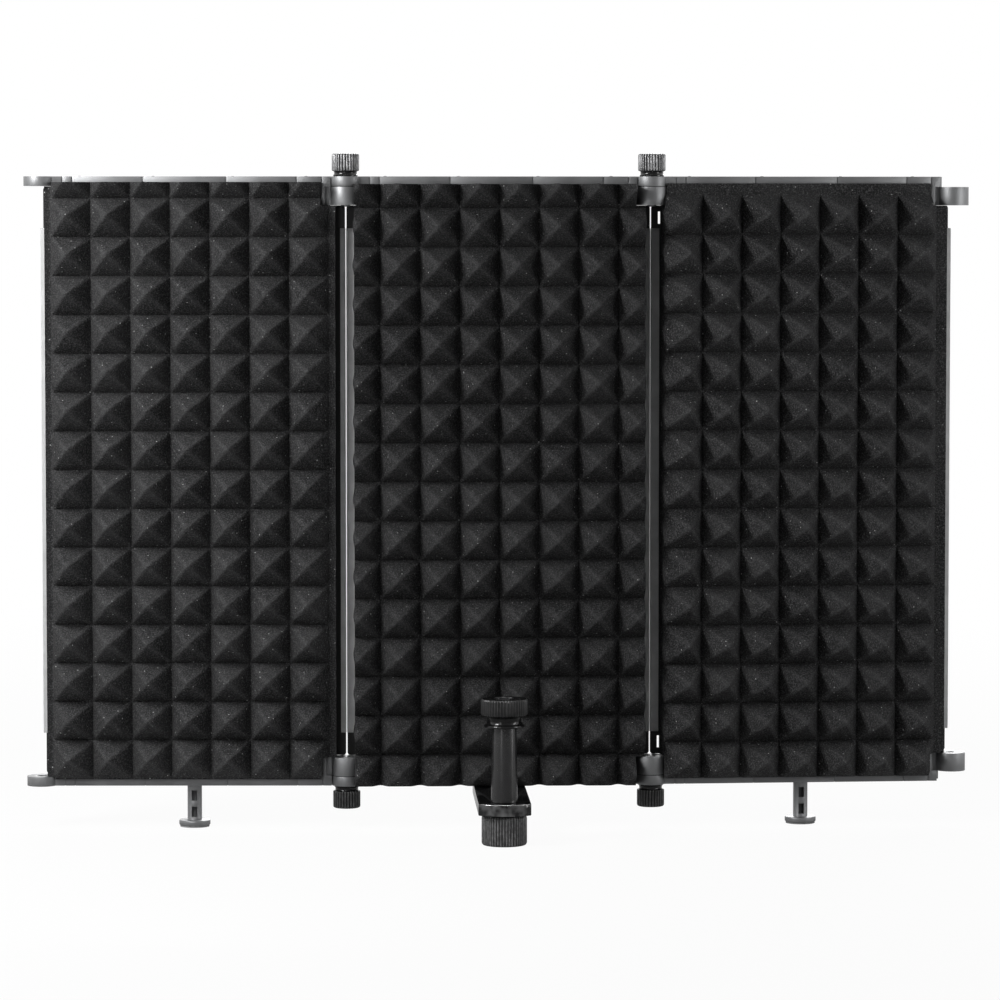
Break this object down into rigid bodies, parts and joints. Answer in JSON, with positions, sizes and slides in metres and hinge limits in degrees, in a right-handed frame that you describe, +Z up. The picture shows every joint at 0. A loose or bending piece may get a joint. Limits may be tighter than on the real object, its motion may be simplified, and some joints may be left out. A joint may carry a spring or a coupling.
{
  "type": "microphone isolation shield",
  "caption": "Folding microphone isolation shield: hinged pyramid-foam panels with thumbscrews, a bracket with a microphone post and stand socket, and pull-out feet.",
  "frame": {"origin": "mouth of the stand socket, on the axis of the microphone post at rest, at table height", "axes": "+Z up along the post, +X along the row of panels to the right as seen from the foam side, +Y towards the perforated back; the foam faces -Y"},
  "size_m": [0.4967, 0.1027, 0.354],
  "materials": {
    "foam": "open-cell foam, matte charcoal",
    "plate": "powder coated, dark grey",
    "rail": "satin grey coat",
    "trim": "satin grey",
    "knob": "knurled, satin black",
    "steel": "zinc plated",
    "dark_steel": "blackened",
    "washer": "matte black nylon",
    "gloss_black": "gloss black",
    "satin_black": "satin black anodised",
    "rubber": "matte"
  },
  "bodies": {
    "center_panel": {"center_back_plate": "plate", "center_top_rail": "rail", "center_bottom_rail": "rail", "center_foam_pad": "foam", "center_edge_trims": "trim", "center_plate_screws": "dark_steel", "bracket": "gloss_black", "bracket_screws": "dark_steel", "bracket_nuts": "steel", "right_top_hinge_washer": "washer", "right_bottom_hinge_washer": "washer"},
    "left_wing": {"left_back_plate": "plate", "left_top_rail": "rail", "left_bottom_rail": "rail", "left_foam_pad": "foam", "left_edge_trims": "trim", "left_plate_screws": "dark_steel", "left_top_hinge_washer": "washer", "left_bottom_hinge_washer": "washer"},
    "right_wing": {"right_back_plate": "plate", "right_top_rail": "rail", "right_bottom_rail": "rail", "right_foam_pad": "foam", "right_edge_trims": "trim", "right_plate_screws": "dark_steel"},
    "left_top_thumbscrew": {"left_top_hinge_knob": "knob", "left_top_hinge_screw": "steel"},
    "left_bottom_thumbscrew": {"left_bottom_hinge_knob": "knob", "left_bottom_hinge_screw": "steel"},
    "right_top_thumbscrew": {"right_top_hinge_knob": "knob", "right_top_hinge_screw": "steel"},
    "right_bottom_thumbscrew": {"right_bottom_hinge_knob": "knob", "right_bottom_hinge_screw": "steel"},
    "post": {"mic_post": "satin_black", "post_stud": "steel"},
    "stand_knob": {"stand_knob": "satin_black"},
    "mic_nut": {"mic_nut": "satin_black"},
    "left_foot": {"left_foot": "rail", "left_foot_pad": "rubber"},
    "right_foot": {"right_foot": "rail", "right_foot_pad": "rubber"}
  },
  "joints": [
    {"name": "left_hinge", "type": "hinge", "parent": "center_panel", "child": "left_wing", "pos_m": [-0.08025, 0.072, 0.182], "axis": [0, 0, 1], "range_deg": [-1.5, 50]},
    {"name": "right_hinge", "type": "hinge", "parent": "center_panel", "child": "right_wing", "pos_m": [0.08025, 0.072, 0.182], "axis": [0, 0, -1], "range_deg": [-0.5, 50]},
    {"name": "left_top_thumbscrew_turn", "type": "hinge", "parent": "left_wing", "child": "left_top_thumbscrew", "pos_m": [-0.08025, 0.072, 0.182], "axis": [0, 0, 1], "continuous": true},
    {"name": "left_bottom_thumbscrew_turn", "type": "hinge", "parent": "left_wing", "child": "left_bottom_thumbscrew", "pos_m": [-0.08025, 0.072, 0.182], "axis": [0, 0, -1], "continuous": true},
    {"name": "right_top_thumbscrew_turn", "type": "hinge", "parent": "center_panel", "child": "right_top_thumbscrew", "pos_m": [0.08025, 0.072, 0.182], "axis": [0, 0, 1], "continuous": true},
    {"name": "right_bottom_thumbscrew_turn", "type": "hinge", "parent": "center_panel", "child": "right_bottom_thumbscrew", "pos_m": [0.08025, 0.072, 0.182], "axis": [0, 0, -1], "continuous": true},
    {"name": "post_slide", "type": "slide", "parent": "center_panel", "child": "post", "axis": [0, 1, 0], "range_m": [0, 0.03]},
    {"name": "stand_knob_turn", "type": "hinge", "parent": "post", "child": "stand_knob", "pos_m": [0, 0, 0.008], "axis": [0, 0, 1], "continuous": true},
    {"name": "mic_nut_turn", "type": "hinge", "parent": "post", "child": "mic_nut", "pos_m": [0, 0, 0.068], "axis": [0, 0, 1], "continuous": true},
    {"name": "left_foot_slide", "type": "slide", "parent": "left_wing", "child": "left_foot", "axis": [0, 0, 1], "range_m": [0, 0.018]},
    {"name": "right_foot_slide", "type": "slide", "parent": "right_wing", "child": "right_foot", "axis": [0, 0, 1], "range_m": [0, 0.018]}
  ]
}
